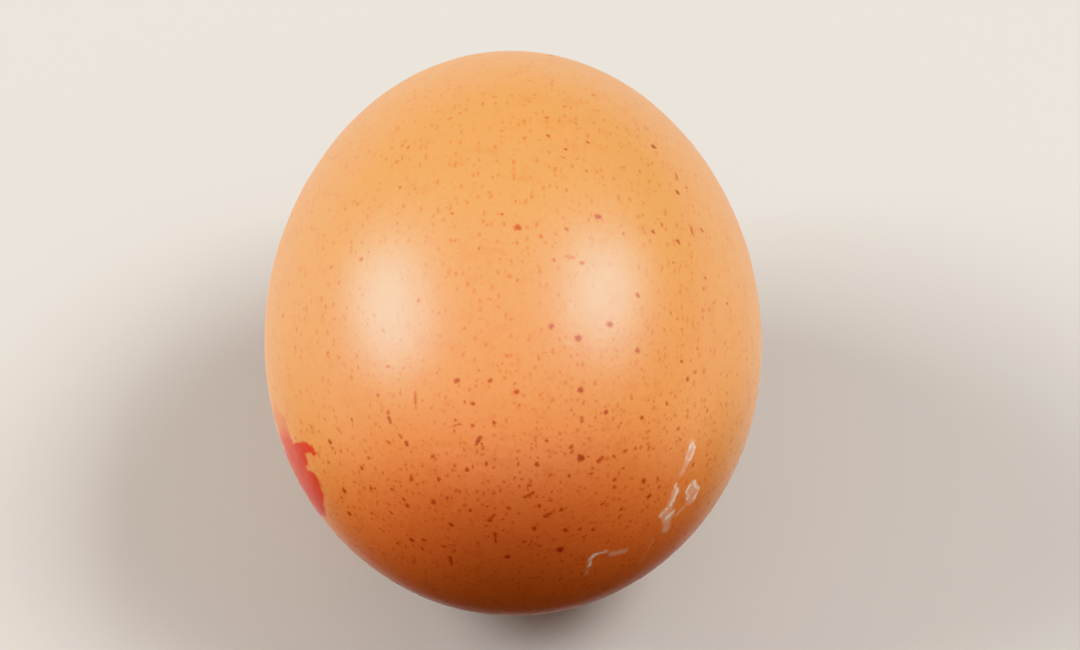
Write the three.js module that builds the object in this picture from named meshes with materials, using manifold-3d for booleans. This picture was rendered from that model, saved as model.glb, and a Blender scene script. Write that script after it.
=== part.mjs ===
// A hen's egg, lying on its side the way it comes to rest on a table.
//
// Units are millimetres and +Z is up. The long axis runs along Y, with the blunt end towards -Y,
// the pointed end towards +Y and dipping a little. The origin is the point of the rest spot that
// lies straight under the centre of mass. The whole egg is one closed solid.

import * as THREE from "three";
import { mergeVertices } from "three/addons/utils/BufferGeometryUtils.js";
import Module from "manifold-3d";

// ---- Driving dimensions ----
const LENGTH = 57; // from pole to pole, along the egg's own axis
const BREADTH = 44; // across the fullest girth
const BLUNT_FULLNESS = 0.08; // how far the blunt half outgrows the pointed half; 0 is an ellipsoid
const REST_SPOT_DEPTH = 0.25; // how deep the flat spot that the egg rests on is let into its side

// ---- Fineness of the faceted surface ----
const GIRTH_FACETS = 72; // around the axis
const LENGTH_FACETS = 36; // from pole to pole
const SEARCH_STEPS = 50; // halvings that find the resting point

// ---- Outline ----
// A station runs from -1 at the blunt pole to +1 at the pointed pole. The outline is a half
// ellipse whose height is scaled by (1 - BLUNT_FULLNESS * station), then sized to BREADTH.
const HALF_LENGTH = LENGTH / 2;
const GIRTH_STATION = (-2 * BLUNT_FULLNESS) / (1 + Math.sqrt(1 + 8 * BLUNT_FULLNESS ** 2));
const MASS_STATION = (-2 * BLUNT_FULLNESS) / (5 + BLUNT_FULLNESS ** 2);

function unsizedRadius(station) {
  return Math.sqrt(Math.max(0, 1 - station ** 2)) * (1 - BLUNT_FULLNESS * station);
}

const RADIUS_SCALE = BREADTH / 2 / unsizedRadius(GIRTH_STATION);

function radiusAt(station) {
  return RADIUS_SCALE * unsizedRadius(station);
}

// The radius times its own slope along the axis: how far ahead of a station, measured along the
// axis, the surface normal there meets the axis.
function normalReach(station) {
  const widening = 2 * BLUNT_FULLNESS * station ** 2 - station - BLUNT_FULLNESS;
  return (RADIUS_SCALE ** 2 / HALF_LENGTH) * (1 - BLUNT_FULLNESS * station) * widening;
}

// ---- Resting attitude ----
// The egg comes to rest on the point whose surface normal passes through the centre of mass.
function restingStation() {
  let low = -0.5;
  let high = 0.5;
  for (let i = 0; i < SEARCH_STEPS; i++) {
    const middle = (low + high) / 2;
    const offset = HALF_LENGTH * (middle - MASS_STATION) + normalReach(middle);
    if (offset > 0) high = middle;
    else low = middle;
  }
  return (low + high) / 2;
}

const REST_STATION = restingStation();
const REST_RADIUS = radiusAt(REST_STATION);
const REST_SLOPE = normalReach(REST_STATION) / REST_RADIUS;
const DIP = -Math.atan(REST_SLOPE); // how far the pointed end dips below level
const MASS_Y = HALF_LENGTH * MASS_STATION; // centre of mass, on the egg's own axis
const REST_Y = HALF_LENGTH * REST_STATION; // resting point, along the egg's own axis
const MASS_HEIGHT = Math.hypot(REST_Y - MASS_Y, REST_RADIUS) - REST_SPOT_DEPTH;

// ---- Geometry to solid and back ----
const wasm = await Module();
wasm.setup();

function toSolid(geometry) {
  const bare = geometry.clone();
  bare.deleteAttribute("normal");
  bare.deleteAttribute("uv");
  const merged = mergeVertices(bare);
  return new wasm.Manifold(
    new wasm.Mesh({
      numProp: 3,
      vertProperties: merged.getAttribute("position").array,
      triVerts: new Uint32Array(merged.index.array),
    }),
  );
}

function toGeometry(solid) {
  const mesh = solid.getMesh();
  const geometry = new THREE.BufferGeometry();
  geometry.setAttribute("position", new THREE.BufferAttribute(mesh.vertProperties, mesh.numProp));
  geometry.setIndex(new THREE.BufferAttribute(mesh.triVerts, 1));
  geometry.computeVertexNormals();
  return geometry;
}

// ---- The egg ----
// The whole body, turned about Y. Rows are spaced evenly in angle, so they crowd at the poles.
function turnedBody() {
  const outline = [];
  for (let i = 0; i <= LENGTH_FACETS; i++) {
    const station = -Math.cos((Math.PI * i) / LENGTH_FACETS);
    const onAxis = i === 0 || i === LENGTH_FACETS;
    outline.push(new THREE.Vector2(onAxis ? 0 : radiusAt(station), HALF_LENGTH * station));
  }
  return new THREE.LatheGeometry(outline, GIRTH_FACETS);
}

// Takes the egg from its own frame, axis along Y through the origin, to where it lies.
function restingPose() {
  const turn = new THREE.Matrix4().makeRotationX(-DIP);
  const mass = new THREE.Vector3(0, MASS_Y, 0).applyMatrix4(turn);
  return turn.setPosition(-mass.x, -mass.y, MASS_HEIGHT - mass.z);
}

// Everything under the surface that the egg rests on, seen from the egg's own frame.
function underTheSurface(pose) {
  const side = 2 * LENGTH;
  const block = new THREE.BoxGeometry(side, side, side);
  block.translate(0, 0, -side / 2);
  return block.applyMatrix4(pose.clone().invert());
}

function makeEgg() {
  const pose = restingPose();
  const body = toSolid(turnedBody()).subtract(toSolid(underTheSurface(pose)));
  const shell = new THREE.MeshStandardMaterial({ color: 0xe9a468, roughness: 0.4, metalness: 0 });
  const egg = new THREE.Mesh(toGeometry(body), shell);
  egg.name = "egg";
  pose.decompose(egg.position, egg.quaternion, egg.scale);
  return egg;
}

const part = new THREE.Group();
part.add(makeEgg());

export default part;
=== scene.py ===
"""A brown speckled hen's egg lying on its side, on a plain pale floor under two soft lights."""

import math
import random
from collections import namedtuple

import bmesh
import bpy
import numpy as np
from mathutils import Matrix, Vector, noise
from mathutils.bvhtree import BVHTree
from mathutils.kdtree import KDTree


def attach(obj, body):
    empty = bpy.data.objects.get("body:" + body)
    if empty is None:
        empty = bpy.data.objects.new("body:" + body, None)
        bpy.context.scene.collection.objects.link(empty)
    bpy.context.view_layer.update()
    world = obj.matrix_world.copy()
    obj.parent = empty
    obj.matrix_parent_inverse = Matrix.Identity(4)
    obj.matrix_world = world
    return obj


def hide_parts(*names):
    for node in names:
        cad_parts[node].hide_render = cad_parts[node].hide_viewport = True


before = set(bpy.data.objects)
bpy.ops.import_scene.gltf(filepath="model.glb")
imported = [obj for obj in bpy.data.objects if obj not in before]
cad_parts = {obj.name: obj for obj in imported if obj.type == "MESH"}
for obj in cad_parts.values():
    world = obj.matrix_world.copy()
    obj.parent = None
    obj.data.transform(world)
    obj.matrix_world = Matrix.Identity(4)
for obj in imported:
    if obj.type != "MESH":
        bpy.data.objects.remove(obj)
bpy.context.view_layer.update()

MM = 0.001  # metres in a millimetre

# ---- The shell's surface, in millimetres ----
GRID = 128  # faces along each edge of the cube that the shell is blown up from
SWELL_HEIGHT, SWELL_SIZE = 0.07, 13.0  # long soft unevenness of the whole shell
RIPPLE_HEIGHT, RIPPLE_SIZE = 0.014, 3.2  # shorter unevenness, just enough to stir the gloss
PIMPLES, PIMPLE_HEIGHT, PIMPLE_RADIUS = 45, 0.03, 0.6  # grains of extra lime
WRINKLE_HEIGHT, WRINKLE_WIDTH, WRINKLE_LENGTH = 0.05, 0.8, 4.0

# ---- Freckles and other spots left to chance, in millimetres ----
CHANCE_FRECKLES = 900  # how many there are
SMALLEST_FRECKLE, LARGEST_FRECKLE = 0.22, 0.95
FRONT_EDGE = 0.1  # a direction whose cosine to the camera's is above this is on the front
FRONT_SHARE = 0.6  # the share of them that stays on the front, which has freckles of its own
FRECKLES_SEED, PIMPLES_SEED = 11, 5
DRAWN_OUT = (1, 0.6, 1)  # squeezes their pattern's Y, so that pores and specks run along the egg
PORE_SPACING, PORE_RADIUS = 0.5, 0.24
SPECK_SPACING, SPECK_RADIUS = 0.9, 0.23
PORE_DEPTH, SPECK_DEPTH = 0.24, 0.42  # pigment, as a share of a freckle's
PORE_DIP, GRAIN_RISE, FRECKLE_RISE, SCUFF_RISE = 0.004, 0.012, 0.006, 0.012  # fine relief

# ---- The camera ----
AZIMUTH, ELEVATION = math.radians(-0.9), math.radians(47.5)
DISTANCE = 0.44
SENSOR, LENS = 36.0, 165.6
SHIFT_RIGHT, SHIFT_UP = 0.0247, 0.0128

# ---- Marks on the front, laid out in millimetres right of and above the middle of the girth ----
# Freckles by diameter.
FRECKLES = {
    0.75: [(6, -10.5), (4.1, -18.7), (12.4, 17), (0.4, 9.8), (5.8, 0.1), (8.5, 1.3), (7.5, 10.8)],
    0.6: [
        (-5, -3.7), (6, -4.5), (-0.5, -19.3), (-7.1, -14.4), (-14.5, -15.5), (-9, -17.8),
        (14.6, 8.6), (3.4, 1.1), (11, -1), (14.5, 13), (-15, -13.4), (11, 3.9),
    ],
    0.5: [
        (0.3, -4.7), (-3.6, -5.8), (2.1, -11.1), (-9.4, -14.7), (7.1, -16.9), (-7.9, -17.8),
        (8.2, -6.5), (-16.2, -9.1), (15.4, -3.6), (4.7, 9.7), (16.7, 9.6), (4.6, 16.8),
        (12.4, 9.4), (6.1, 6.7), (-2, -3.7), (11.6, -12.6), (12, -14), (-5.5, -16.4),
        (4.6, -17), (1.9, -16.8), (4.3, -15.1), (-13.5, 7), (-2.1, -16),
    ],
    0.4: [
        (3, -9), (-1.7, -7.4), (5.1, -9.6), (9, -12.4), (9, -13.1), (2.3, -14.8), (-3.6, -7.7),
        (-9.7, -14.2), (-5.9, -14.1), (-4.1, -11.6), (-2.4, -11.1), (-8, -18.6), (-10.2, -18.1),
        (2.5, 9.1), (4.9, 7.1), (0.4, 5.2), (-16.4, -1.2), (-11.1, -2.4),
        (-12, -5), (-20.4, 2), (11.4, -7), (-8.4, 3.4), (3.6, 7), (-10, 13.4), (-5.4, 11.1),
        (-1, 11), (-3, 8), (-16.1, 6.4), (-15.4, 5), (19, 3.1), (14.9, -2),
        (14.6, -8), (-13.4, -11.4), (4.9, -12.1), (6.9, -12), (-7.1, -10.4), (15.9, -11.1),
        (12.9, -13.1), (-0.4, -15), (3, 19.6), (-3.8, -15.2), (1, -17.9), (3.1, 18), (6.6, 17.4),
        (17, 5.4), (15.3, 13.4), (9.8, 9.3), (5.9, -16.9), (-6.6, -12.4), (-10.8, -15.4),
        (9.6, -15.1), (7.9, -14.6), (-12.6, -13.2), (-14.3, -7.2), (13.6, -5.7), (9.9, -9.9),
    ],
}
# Elongated freckles: from, to, width.
STREAKS = [
    ((-2.9, -8.7), (-3.3, -9.3), 0.42),
    ((-2.8, -9.3), (-2.7, -9.7), 0.25),
    ((-8.7, -4.8), (-8.7, -5.7), 0.28),
    ((-11.0, -7.0), (-10.8, -7.3), 0.38),
    ((-10.4, -7.7), (-10.2, -8.0), 0.14),
    ((-10.0, -8.5), (-9.9, -8.7), 0.28),
    ((-9.45, -9.2), (-9.4, -9.35), 0.42),
    ((-9.0, -12.1), (-9.0, -12.4), 0.4),
    ((7.9, -10.5), (7.5, -10.9), 0.3),
    ((7.0, -11.7), (6.4, -12.3), 0.1),
    ((1.0, -14.0), (1.7, -13.6), 0.3),
    ((1.4, -13.6), (1.2, -13.1), 0.14),
    ((2.8, -15.7), (3.3, -15.5), 0.36),
    ((-5.6, -19.3), (-5.5, -19.9), 0.4),
    ((-1.6, -17.2), (-1.5, -18.0), 0.3),
    ((-2.2, -16.0), (-1.7, -15.6), 0.32),
    ((3.0, 19.7), (3.0, 18.6), 0.1),
    ((2.7, 13.4), (2.7, 12.3), 0.06),
    ((-5.3, -7.7), (-4.7, -7.5), 0.2),
    ((4.7, 7.3), (5.4, 7.2), 0.36),
    ((15.7, 9.8), (15.9, 9.3), 0.4),
    ((14.4, 14.6), (14.5, 14.1), 0.3),
]
# Whitish scuffs: points along each, and its width.
SCUFFS = [
    ([(15.8, -9.3), (16.0, -9.65), (15.85, -10.2), (15.5, -10.75)], 0.4),
    ([(15.65, -9.5), (15.35, -10.1), (15.3, -10.6)], 0.38),
    ([(14.4, -12.9), (14.5, -13.5), (14.2, -14.2), (13.95, -14.7)], 0.38),
    ([(13.5, -15.1), (13.0, -15.7)], 0.44),
    ([(14.2, -15.2), (13.5, -16.0)], 0.4),
    ([(15.7, -12.9), (15.3, -13.5), (15.4, -14.1)], 0.36),
    ([(16.0, -12.7), (16.35, -13.3), (15.95, -14.2)], 0.4),
    ([(6.7, -20.2), (6.8, -19.6), (7.2, -19.15), (7.7, -19.0), (8.3, -18.85)], 0.42),
]
# Faint hazy scuffs, the same way.
HAZE = [
    ([(15.8, -9.2), (15.7, -9.7), (15.3, -11.0)], 0.7),
    ([(15.3, -11.1), (14.8, -12.0)], 0.4),
    ([(14.3, -13.6), (14.0, -14.4), (13.6, -15.5)], 0.9),
    ([(15.8, -13.1), (15.8, -14.1)], 1.3),
    ([(13.5, -15.4), (13.7, -15.8)], 1.3),
    ([(15.3, -14.6), (14.5, -15.5)], 0.34),
    ([(13.6, -16.2), (13.5, -16.9)], 0.9),
    ([(12.5, -17.5), (11.9, -18.7), (11.2, -19.9)], 0.1),
    ([(8.6, -19.1), (9.9, -18.8)], 0.6),
    ([(6.7, -20.3), (6.4, -20.9)], 0.3),
]
# The red stain low on the left: strokes as from, to, half width.
STAIN = [
    ((-21.2, -5.4), (-20.5, -7.0), 0.5),
    ((-20.3, -7.0), (-19.9, -8.4), 0.6),
    ((-19.9, -8.6), (-19.4, -9.8), 0.6),
    ((-19.3, -9.9), (-18.7, -11.2), 0.85),
    ((-18.7, -11.2), (-18.1, -12.4), 0.85),
    ((-17.9, -12.5), (-17.5, -13.8), 1.2),
    ((-17.3, -14.0), (-17.0, -14.8), 0.75),
    ((-17.0, -14.8), (-16.4, -15.3), 0.2),
    ((-18.5, -9.7), (-18.3, -10.7), 0.6),
    ((-18.6, -9.5), (-18.0, -9.4), 0.58),
    ((-18.0, -9.4), (-17.5, -9.5), 0.42),
    ((-17.4, -9.6), (-17.15, -9.9), 0.24),
]
WRINKLED_PATCH = (-4.3, -9.5)  # a rough, creased spot
PATCH_REACH = (5.0, 1.8)  # how far it runs to the sides, and up and down

# ---- Colours, linear ----
PALE_BROWN = (0.856, 0.350, 0.103)
DEEP_BROWN = (0.92, 0.302, 0.092)
ROSY_BROWN = (0.856, 0.340, 0.135)
# The pole brown is partly the shell's deeper brown at its blunt end and partly painted shade on
# that end's underside.
POLE_BROWN_AND_SHADE = (0.86, 0.182, 0.078)
LOW_END = Vector((0, -0.94, -0.34))  # the way from the middle to where the pole brown is deepest, on the blunt end's underside, where it is partly painted shade
FRECKLE = (0.50, 0.19, 0.12)  # what a full depth of its pigment lets through
STAIN_RED = (0.74, 0.036, 0.015)
SCUFF_WHITE = (0.98, 0.75, 0.64)
HAZE_PINK = (0.94, 0.46, 0.34)
FLOOR = (0.575, 0.486, 0.512)
# Painted light: the floor far from the egg is painted brighter, to make up for the lamps' light
# falling off there.
FAR_FLOOR_PAINTED_LIGHT = (0.86, 0.735, 0.77)
BACKDROP = (0.372, 0.338, 0.312)
SKY_DIM, SKY_BRIGHT = (0.10, 0.112, 0.10), (0.59, 0.60, 0.51)
GLOW_DARK, GLOW_PALE = (0.05, 0.04, 0.035), (1.05, 0.97, 0.89)  # the floor's glow on the egg

# ---- Studio, in metres and watts ----
FLOOR_REACH = 3.0  # from the middle of the floor to each edge
LIGHT_WIDTH, LIGHT_LENGTH, LIGHT_DISTANCE = 0.67, 1.01, 1.6
LIGHT_COLOUR = (0.88, 1.0, 0.88)
# Each light by the way to it from the egg, and its power.
LIGHTS = {
    "left_light": ((-0.809, 0.075, 0.545), 29.6),
    "right_light": ((0.592, 0.03, 0.75), 26.6),
}
SKY_PEAK = (0, -0.7, 0.71)  # the way to the brightest part of the sky


# ======================================================================== shape
Egg = namedtuple("Egg", "pose half_length breadth_scale fullness")


def measure_egg(node):
    """The pose and outline of the CAD egg. Its poles are its two farthest points, and over a half
    ellipse its outline rises in a straight line from the pointed end (+Y) to the blunt one."""
    points = np.array([v.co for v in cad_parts[node].data.vertices])
    first = points[np.argmax(np.linalg.norm(points - points.mean(0), axis=1))]
    second = points[np.argmax(np.linalg.norm(points - first, axis=1))]
    blunt, pointed = sorted((first, second), key=lambda p: p[1])
    middle = (blunt + pointed) / 2
    half_length = np.linalg.norm(pointed - blunt) / 2
    along = (pointed - blunt) / (2 * half_length)
    station = (points - middle) @ along / half_length
    radius = np.linalg.norm(points - middle - np.outer(station * half_length, along), axis=1)
    clear = (abs(station) < 0.9) & (points[:, 2] > 0.1 * points[:, 2].max())
    rise = radius[clear] / np.sqrt(1 - station[clear] ** 2)
    slope, breadth_scale = np.polyfit(station[clear], rise, 1)
    along = Vector(along)
    across = Vector((1, 0, 0))
    pose = Matrix((across, along, across.cross(along))).transposed().to_4x4()
    pose.translation = Vector(middle)
    return Egg(pose, half_length, breadth_scale, -slope / breadth_scale)


EGG = measure_egg("egg")


def girth_centre():
    """The point of the axis at the egg's fullest girth, in the row frame."""
    station = -2 * EGG.fullness / (1 + math.sqrt(1 + 8 * EGG.fullness**2))
    return EGG.pose @ Vector((0, station * EGG.half_length, 0))


def smooth_point(direction):
    """The point of the smooth shell that a unit direction is blown out to, in the egg's frame."""
    swell = EGG.breadth_scale * (1 - EGG.fullness * direction.y)
    return Vector((swell * direction.x, EGG.half_length * direction.y, swell * direction.z))


# ======================================================================= camera
def looking():
    """Unit vectors to the right, up and towards the viewer, for the camera's angle."""
    back = Vector((
        math.sin(AZIMUTH) * math.cos(ELEVATION),
        -math.cos(AZIMUTH) * math.cos(ELEVATION),
        math.sin(ELEVATION),
    ))
    right = Vector((0, 0, 1)).cross(back).normalized()
    return right, back.cross(right), back


RIGHT, UP, BACK = looking()
TARGET = girth_centre()


def make_camera():
    data = bpy.data.cameras.new("camera")
    data.sensor_width = SENSOR
    data.lens = LENS
    data.shift_x = SHIFT_RIGHT
    data.shift_y = SHIFT_UP
    camera = bpy.data.objects.new("camera", data)
    bpy.context.scene.collection.objects.link(camera)
    camera.matrix_world = Matrix((RIGHT, UP, BACK)).transposed().to_4x4()
    camera.location = TARGET + BACK * DISTANCE
    bpy.context.scene.camera = camera


# ================================================================== shell mesh
def blown_cube():
    """A cube of even square faces blown up to the egg's smooth shape, in the egg's frame."""
    bm = bmesh.new()
    bmesh.ops.create_cube(bm, size=2)
    bmesh.ops.subdivide_edges(bm, edges=bm.edges[:], cuts=GRID - 1, use_grid_fill=True)
    for v in bm.verts:
        even = Vector([math.tan(math.pi / 4 * c) for c in v.co])
        v.co = smooth_point(even.normalized())
    return bm


def on_shell(right, up):
    """The point of the smooth shell seen that many millimetres right of and above the middle of
    the girth, in the egg's frame."""
    eye = TARGET + BACK * DISTANCE
    aim = TARGET + RIGHT * right * MM + UP * up * MM
    into_egg = EGG.pose.inverted()
    eye, aim = into_egg @ eye, into_egg @ aim
    hit = SMOOTH.ray_cast(eye, aim - eye)[0]
    return hit


def wrinkles(point):
    """Fine creases that run across the front, as a height in millimetres."""
    offset = point - PATCH_CENTRE
    sideways = offset.dot(EGG_RIGHT) / (PATCH_REACH[0] * MM)
    upwards = offset.dot(EGG_UP) / (PATCH_REACH[1] * MM)
    share = math.exp(-(sideways**2) - upwards**2)
    if share < 0.02:
        return 0.0
    grain = Vector((
        offset.dot(EGG_RIGHT) / (WRINKLE_LENGTH * MM),
        offset.dot(EGG_UP) / (WRINKLE_WIDTH * MM),
        0,
    ))
    return WRINKLE_HEIGHT * share * noise.fractal(grain, 1.0, 2.0, 3)


def pimple_tree():
    """Grains of lime, most of them towards the ends."""
    draw = random.Random(PIMPLES_SEED)
    tree = KDTree(PIMPLES)
    placed = 0
    while placed < PIMPLES:
        direction = Vector([draw.gauss(0, 1) for _ in range(3)]).normalized()
        if draw.random() < 0.25 + 0.75 * abs(direction.y):
            tree.insert(smooth_point(direction), placed)
            placed += 1
    tree.balance()
    return tree


def relief(point, pimples):
    """How far the shell stands proud of its smooth shape, in millimetres."""
    at = point / MM
    height = SWELL_HEIGHT * noise.noise(at / SWELL_SIZE)
    height += RIPPLE_HEIGHT * noise.noise(at / RIPPLE_SIZE)
    height += wrinkles(point)
    distance = pimples.find(point)[2] / MM / PIMPLE_RADIUS
    if distance < 1:
        height += PIMPLE_HEIGHT * (1 - distance**2) ** 2
    return height


def make_shell():
    bm = blown_cube()
    bm.normal_update()
    pimples = pimple_tree()
    for v in bm.verts:
        v.co = EGG.pose @ (v.co + v.normal * relief(v.co, pimples) * MM)
        v.co.z = max(v.co.z, 0)
    mesh = bpy.data.meshes.new("eggshell")
    bm.to_mesh(mesh)
    bm.free()
    mesh.shade_smooth()
    for kind, marks in marks_by_kind().items():
        lay_marks(mesh, kind, marks)
    mesh.materials.append(shell_material())
    shell = bpy.data.objects.new("eggshell", mesh)
    bpy.context.scene.collection.objects.link(shell)
    return shell


# ==================================================================== node help
class Graph:
    """The nodes of a material or world. Each call adds one node and returns its output. Inputs
    are numbers, tuples or other outputs."""

    def __init__(self, owner):
        owner.use_nodes = True
        self.tree = owner.node_tree
        shaders = ("BSDF_PRINCIPLED", "BACKGROUND")
        self.shader = next(n for n in self.tree.nodes if n.type in shaders)

    def join(self, value, socket):
        if isinstance(value, bpy.types.NodeSocket):
            self.tree.links.new(value, socket)
        else:
            socket.default_value = value

    def node(self, kind, inputs, output=0, **settings):
        made = self.tree.nodes.new(kind)
        for name, value in settings.items():
            setattr(made, name, value)
        for key, value in inputs.items():
            self.join(value, made.inputs[key])
        return made.outputs[output]

    def math(self, operation, *values):
        return self.node("ShaderNodeMath", dict(enumerate(values)), operation=operation)

    def vector(self, operation, *values, output=0):
        inputs = dict(enumerate(values))
        return self.node("ShaderNodeVectorMath", inputs, output, operation=operation)

    def dot(self, a, b):
        return self.vector("DOT_PRODUCT", a, b, output="Value")

    def distance(self, a, b):
        return self.vector("DISTANCE", a, b, output="Value")

    def scaled(self, vector, factor):
        inputs = {0: vector, "Scale": factor}
        return self.node("ShaderNodeVectorMath", inputs, operation="SCALE")

    def step(self, value, low, high, reach=1.0):
        """Rises smoothly from 0 at low to reach at high."""
        inputs = {"Value": value, "From Min": low, "From Max": high, "To Max": reach}
        return self.node("ShaderNodeMapRange", inputs, interpolation_type="SMOOTHSTEP")

    def noise(self, point, size, detail=2.0, output="Fac"):
        inputs = {"Vector": point, "Scale": 1 / size, "Detail": detail}
        return self.node("ShaderNodeTexNoise", inputs, output)

    def mix(self, share, a, b, blend="MIX"):
        made = self.tree.nodes.new("ShaderNodeMix")
        made.data_type = "RGBA"
        made.blend_type = blend
        colour = [s for s in made.inputs if s.type == "RGBA"]
        self.join(share, made.inputs["Factor"])
        for value, socket in zip((a, b), colour):
            self.join(value if not isinstance(value, tuple) else (*value, 1), socket)
        return [s for s in made.outputs if s.type == "RGBA"][0]

    def warped(self, point, size, amount):
        """The point, pushed about by noise by up to roughly amount."""
        push = self.vector("SUBTRACT", self.noise(point, size, output="Color"), (0.5,) * 3)
        return self.vector("ADD", point, self.scaled(push, 2 * amount))


# ======================================================================= marks
# A mark is a straight stroke with round ends, or a round spot where the ends are alike. Each face
# of the shell holds the mark nearest to it, so that the material draws any number of them.
Mark = namedtuple("Mark", "start end radius")


def trail(places, width):
    """The strokes of a bent line through those places on the front."""
    ends = [on_shell(*place) / MM for place in places]
    return [Mark(a, b, width / 2) for a, b in zip(ends, ends[1:])]


def freckles():
    """The freckles placed on the front, and others left to chance."""
    marks = [
        Mark(on_shell(*place) / MM, on_shell(*place) / MM, size / 2)
        for size, places in FRECKLES.items()
        for place in places
    ]
    for start, end, width in STREAKS:
        marks += trail((start, end), width)
    return marks + chance_freckles()


def chance_freckles():
    """Freckles left to chance that crowd the blunt end and grow to full size only off the
    front."""
    draw = random.Random(FRECKLES_SEED)
    chance = []
    while len(chance) < CHANCE_FRECKLES:
        direction = Vector([draw.gauss(0, 1) for _ in range(3)]).normalized()
        crowding = 0.12 + 0.88 * max(0, min(1, 0.45 - 0.75 * direction.y)) ** 1.2
        on_front = direction.dot(EGG_BACK) > FRONT_EDGE
        if on_front:
            crowding *= FRONT_SHARE
        if draw.random() > crowding:
            continue
        size = SMALLEST_FRECKLE + (LARGEST_FRECKLE - SMALLEST_FRECKLE) * draw.random() ** 3.5
        if on_front:
            size = min(size, SMALLEST_FRECKLE * (0.5 + 0.65 * draw.random()))
        start = smooth_point(direction) / MM
        drift = Vector([draw.gauss(0, 1) for _ in range(3)]).cross(direction).normalized()
        stretch = draw.random() ** 4 * 1.4 * size
        chance.append(Mark(start, start + drift * stretch, size / 2))
    return chance


def trails(strokes):
    return [mark for places, width in strokes for mark in trail(places, width)]


def stain():
    """The stain's strokes lie flat, as seen from the front."""
    return [Mark(Vector((*a, 0)), Vector((*b, 0)), width) for a, b, width in STAIN]


def marks_by_kind():
    return {"freckle": freckles(), "scuff": trails(SCUFFS), "haze": trails(HAZE), "stain": stain()}


def lay_marks(mesh, kind, marks):
    """Stores on each face the start, span and radius of the mark that it is deepest in or nearest
    to."""
    points = np.array([EGG_TURN @ (p.center - EGG.pose.translation) / MM for p in mesh.polygons])
    if kind == "stain":
        points = np.array([front_of(Vector(p)) for p in points])
    deepest = np.full(len(points), -np.inf)
    nearest = np.zeros(len(points), int)
    for i, mark in enumerate(marks):
        offset = points - np.array(mark.start)
        span = np.array(mark.end - mark.start)
        share = (offset @ span / max(span @ span, 1e-9)).clip(0, 1)
        depth = mark.radius - np.linalg.norm(offset - share[:, None] * span, axis=1)
        better = depth > deepest
        deepest[better], nearest[better] = depth[better], i
    starts = np.array([mark.start for mark in marks], np.float32)
    spans = np.array([mark.end - mark.start for mark in marks], np.float32)
    radii = np.array([mark.radius for mark in marks], np.float32)
    for name, values in (("start", starts), ("span", spans)):
        held = mesh.attributes.new(f"{kind}_{name}", "FLOAT_VECTOR", "FACE")
        held.data.foreach_set("vector", values[nearest].ravel())
    held = mesh.attributes.new(f"{kind}_radius", "FLOAT", "FACE")
    held.data.foreach_set("value", radii[nearest])


def front_of(point):
    """Where a point in the egg's frame lies on the front, right of and above the middle of the
    girth, all in millimetres."""
    offset = point - EGG_TURN @ (TARGET - EGG.pose.translation) / MM
    return Vector((offset.dot(EGG_RIGHT), offset.dot(EGG_UP), 0))


def inside_mark(g, point, kind):
    """How far inside its face's mark the point lies, in millimetres."""
    start, span = (
        g.node("ShaderNodeAttribute", {}, "Vector", attribute_name=f"{kind}_{name}")
        for name in ("start", "span")
    )
    radius = g.node("ShaderNodeAttribute", {}, "Fac", attribute_name=f"{kind}_radius")
    offset = g.vector("SUBTRACT", point, start)
    length = g.math("MAXIMUM", g.dot(span, span), 1e-6)
    share = g.node("ShaderNodeClamp", {"Value": g.math("DIVIDE", g.dot(offset, span), length)})
    return g.math("SUBTRACT", radius, g.distance(offset, g.scaled(span, share)))


def chance_spots(g, point, spacing, radius, keep):
    """Round spots in random places about that far apart, as how far inside one the point lies.
    keep is the share of them that is there, and they come in all sizes up to radius."""
    cells = g.tree.nodes.new("ShaderNodeTexVoronoi")
    g.join(point, cells.inputs["Vector"])
    cells.inputs["Scale"].default_value = 1 / spacing
    luck = g.node("ShaderNodeSeparateColor", {0: cells.outputs["Color"]})
    size = g.node("ShaderNodeClamp", {"Value": g.math("SUBTRACT", 1, g.math("DIVIDE", luck, keep))})
    reach = g.math("MULTIPLY", cells.outputs["Distance"], spacing)
    return g.math("SUBTRACT", g.math("MULTIPLY", size, radius), reach)


# ============================================================== shell material
def egg_point(g):
    """The shaded point in the egg's own frame, in millimetres."""
    own = g.node("ShaderNodeTexCoord", {}, "Object")
    offset = g.scaled(g.vector("SUBTRACT", own, tuple(EGG.pose.translation)), 1 / MM)
    x, y, z = (g.dot(offset, tuple(row)) for row in EGG_TURN)
    return g.node("ShaderNodeCombineXYZ", {"X": x, "Y": y, "Z": z})


def ground_colour(g, point, towards_blunt):
    """Pale brown with rosy clouds. It deepens towards the blunt end, and most on that end's
    underside, where the deepest brown is partly painted shade.
    """
    blush = g.noise(point, 9.0, 3.0)
    colour = g.mix(g.step(blush, 0.45, 0.75, 0.4), PALE_BROWN, ROSY_BROWN)
    colour = g.mix(towards_blunt, colour, DEEP_BROWN)
    low = g.dot(point, tuple(EGG_TURN @ LOW_END / (EGG.half_length / MM)))
    # Partly painted shade: the pole brown darkens the blunt end's underside.
    return g.mix(g.step(low, 0.5, 0.92), colour, POLE_BROWN_AND_SHADE)


def fine_spots(g, point, towards_blunt):
    """The shares of pores and of specks, both drawn out a little along the egg."""
    wavy = g.warped(g.vector("MULTIPLY", point, DRAWN_OUT), 0.5, 0.2)
    pores = chance_spots(g, wavy, PORE_SPACING, PORE_RADIUS, 1.0)
    clouds = g.step(g.noise(point, 6.0, 2.0), 0.35, 0.7, 0.4)
    crowd = g.math("ADD", g.math("MULTIPLY", towards_blunt, 0.3), clouds)
    keep = g.math("ADD", crowd, 0.25)
    specks = chance_spots(g, wavy, SPECK_SPACING, SPECK_RADIUS, keep)
    return g.step(pores, -0.02, 0.13), g.step(specks, -0.03, 0.15)


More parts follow.
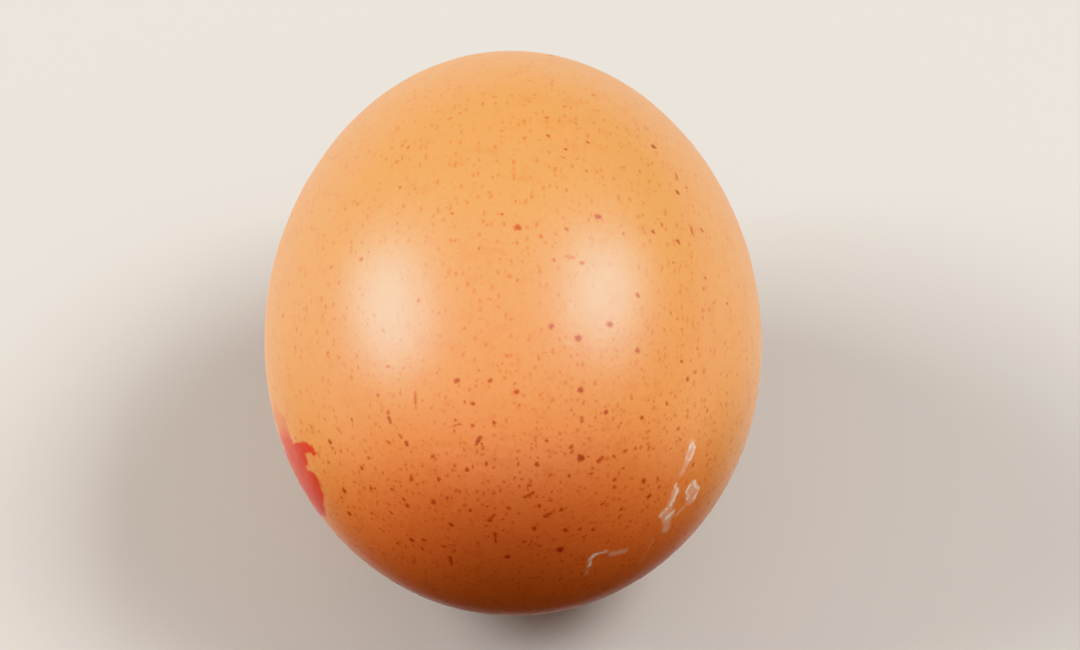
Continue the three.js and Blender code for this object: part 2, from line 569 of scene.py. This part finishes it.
def pigmented(g, colour, mottle, grain, pores, specks, freckled):
    """The colour under the brown pigment of its mottling, pores, specks and freckles."""
    depth = g.math("ADD", g.step(mottle, 0.5, 0.8, 0.1), g.step(grain, 0.5, 0.8, 0.14))
    depth = g.math("ADD", depth, g.math("MULTIPLY", pores, PORE_DEPTH))
    depth = g.math("ADD", depth, g.math("MULTIPLY", specks, SPECK_DEPTH))
    depth = g.math("MAXIMUM", depth, freckled)
    passed = [g.math("POWER", share, depth) for share in FRECKLE]
    passed = g.node("ShaderNodeCombineXYZ", dict(enumerate(passed)))
    return g.mix(1.0, colour, passed, "MULTIPLY")


def stain_share(g, point):
    """The red stain. It is laid out flat on the front, worn in places, and fades at its top."""
    middle = EGG_TURN @ (TARGET - EGG.pose.translation) / MM
    from_middle = g.vector("SUBTRACT", point, tuple(middle))
    sideways, upwards, nearer = (
        g.dot(from_middle, tuple(axis)) for axis in (EGG_RIGHT, EGG_UP, EGG_BACK)
    )
    seen = g.node("ShaderNodeCombineXYZ", {"X": sideways, "Y": upwards})
    share = g.step(inside_mark(g, g.warped(seen, 1.1, 0.18), "stain"), -0.1, 0.16)
    share = g.math("MULTIPLY", share, g.step(nearer, -4.0, -2.0))
    fade = g.math("ADD", g.step(upwards, -5.2, -6.8, 0.42), g.step(upwards, -7.4, -9.0, 0.58))
    share = g.math("MULTIPLY", share, fade)
    worn = g.step(g.noise(point, 1.5, 3.0), 0.75, 0.35, 0.14)
    return g.math("MULTIPLY", share, g.math("ADD", worn, 0.84))


def scuff_shares(g, point):
    """The shares of faint haze and of whitish scuffs, both broken up into patches."""
    torn = g.warped(point, 0.6, 0.2)
    patchy = g.step(g.noise(point, 0.45, 3.0), 0.3, 0.6)
    haze = g.step(inside_mark(g, torn, "haze"), -0.25, 0.3)
    haze = g.math("MULTIPLY", haze, g.math("ADD", g.math("MULTIPLY", patchy, 0.3), 0.5))
    scuff = g.step(inside_mark(g, torn, "scuff"), -0.09, 0.12)
    scuff = g.math("MULTIPLY", scuff, g.math("ADD", g.math("MULTIPLY", patchy, 0.6), 0.2))
    return haze, scuff


def shell_material():
    material = bpy.data.materials.new("eggshell")
    g = Graph(material)
    point = egg_point(g)
    station = g.math("DIVIDE", g.dot(point, (0, 1, 0)), EGG.half_length / MM)
    towards_blunt = g.step(station, -0.2, -1.0)
    mottle = g.noise(point, 1.6, 4.0)
    grain = g.noise(point, 0.32, 2.0)
    pores, specks = fine_spots(g, point, towards_blunt)
    ragged = g.warped(g.warped(point, 0.8, 0.2), 0.3, 0.16)
    freckled = g.step(inside_mark(g, ragged, "freckle"), -0.1, 0.24)
    haze, scuff = scuff_shares(g, point)

    colour = ground_colour(g, point, towards_blunt)
    colour = pigmented(g, colour, mottle, grain, pores, specks, freckled)
    colour = g.mix(stain_share(g, point), colour, STAIN_RED)
    colour = g.mix(haze, colour, HAZE_PINK)
    colour = g.mix(scuff, colour, SCUFF_WHITE)
    g.join(colour, g.shader.inputs["Base Color"])

    roughness = g.math("ADD", 0.35, g.math("MULTIPLY", mottle, 0.08))
    roughness = g.math("ADD", roughness, g.math("MULTIPLY", scuff, 0.2))
    roughness = g.math("ADD", roughness, g.math("MULTIPLY", freckled, 0.13))
    g.join(roughness, g.shader.inputs["Roughness"])

    height = g.math("MULTIPLY", pores, -PORE_DIP)
    for share, rise in ((grain, GRAIN_RISE), (freckled, FRECKLE_RISE), (scuff, SCUFF_RISE)):
        height = g.math("ADD", height, g.math("MULTIPLY", share, rise))
    bump = g.node("ShaderNodeBump", {"Height": height, "Distance": MM})
    g.join(bump, g.shader.inputs["Normal"])

    g.shader.inputs["Specular IOR Level"].default_value = 0.88
    g.shader.inputs["IOR"].default_value = 1.58
    g.shader.inputs["Subsurface Weight"].default_value = 0.06
    g.shader.inputs["Subsurface Radius"].default_value = (1.0, 0.45, 0.2)
    g.shader.inputs["Subsurface Scale"].default_value = 0.7 * MM
    return material


# ======================================================================= studio
def make_floor():
    mesh = bpy.data.meshes.new("floor")
    corners = [(x, y, 0) for x, y in ((-1, -1), (1, -1), (1, 1), (-1, 1))]
    mesh.from_pydata([FLOOR_REACH * Vector(c) for c in corners], [], [(0, 1, 2, 3)])
    material = bpy.data.materials.new("floor")
    g = Graph(material)
    own = g.node("ShaderNodeTexCoord", {}, "Object")
    cloud = g.step(g.noise(own, 0.4), 0.3, 0.7)
    colour = g.mix(cloud, FLOOR, tuple(0.97 * c for c in FLOOR))
    # Painted light: brighter towards the far floor, where the lamps' light falls off.
    colour = g.mix(g.step(g.distance(own, (0, 0, 0)), 0.2, 2.0), colour, FAR_FLOOR_PAINTED_LIGHT)
    g.join(colour, g.shader.inputs["Base Color"])
    g.shader.inputs["Roughness"].default_value = 0.8
    mesh.materials.append(material)
    floor = bpy.data.objects.new("floor", mesh)
    bpy.context.scene.collection.objects.link(floor)
    floor.visible_diffuse = False
    floor.visible_glossy = False


def make_light(name, towards, power):
    """A soft rectangular light that faces the egg, its long side along the egg's length."""
    data = bpy.data.lights.new(name, "AREA")
    data.shape = "RECTANGLE"
    data.size, data.size_y = LIGHT_WIDTH, LIGHT_LENGTH
    data.energy = power
    data.color = LIGHT_COLOUR
    light = bpy.data.objects.new(name, data)
    bpy.context.scene.collection.objects.link(light)
    towards = Vector(towards).normalized()
    across = Vector((0, 1, 0)).cross(towards).normalized()
    light.matrix_world = Matrix((across, towards.cross(across), towards)).transposed().to_4x4()
    light.location = TARGET + towards * LIGHT_DISTANCE
    light.visible_camera = False


def make_world():
    """Soft light from high in front. Below the horizon the world stands in for the floor's glow:
    pale behind and beside the egg, dark under it and in front of it. The camera itself sees one
    even backdrop."""
    world = bpy.data.worlds.new("world")
    bpy.context.scene.world = world
    g = Graph(world)
    towards = g.node("ShaderNodeTexCoord", {}, "Generated")
    above = g.mix(g.step(g.dot(towards, SKY_PEAK), -0.1, 0.95), SKY_DIM, SKY_BRIGHT)
    ahead, height = g.dot(towards, (0, 1, 0)), g.dot(towards, (0, 0, 1))
    behind = g.step(ahead, 0.15, 0.6)
    beside = g.math("MULTIPLY", g.step(height, -0.62, -0.2), g.step(ahead, -0.6, -0.1))
    pale = g.math("MAXIMUM", behind, beside)
    below = g.mix(pale, GLOW_DARK, GLOW_PALE)
    light = g.mix(g.step(height, -0.06, 0.06), below, above)
    seen = g.node("ShaderNodeLightPath", {}, "Is Camera Ray")
    g.join(g.mix(seen, light, BACKDROP), g.shader.inputs["Color"])


def make_studio():
    make_floor()
    make_world()
    for name, (towards, power) in LIGHTS.items():
        make_light(name, towards, power)


# ======================================================================== build
EGG_TURN = EGG.pose.to_3x3().inverted()
EGG_RIGHT, EGG_UP, EGG_BACK = EGG_TURN @ RIGHT, EGG_TURN @ UP, EGG_TURN @ BACK
smooth = blown_cube()
SMOOTH = BVHTree.FromBMesh(smooth)
smooth.free()
PATCH_CENTRE = on_shell(*WRINKLED_PATCH)

make_camera()
shell = make_shell()
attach(shell, "root")
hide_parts("egg")
make_studio()
bpy.context.scene.view_settings.view_transform = "Khronos PBR Neutral"
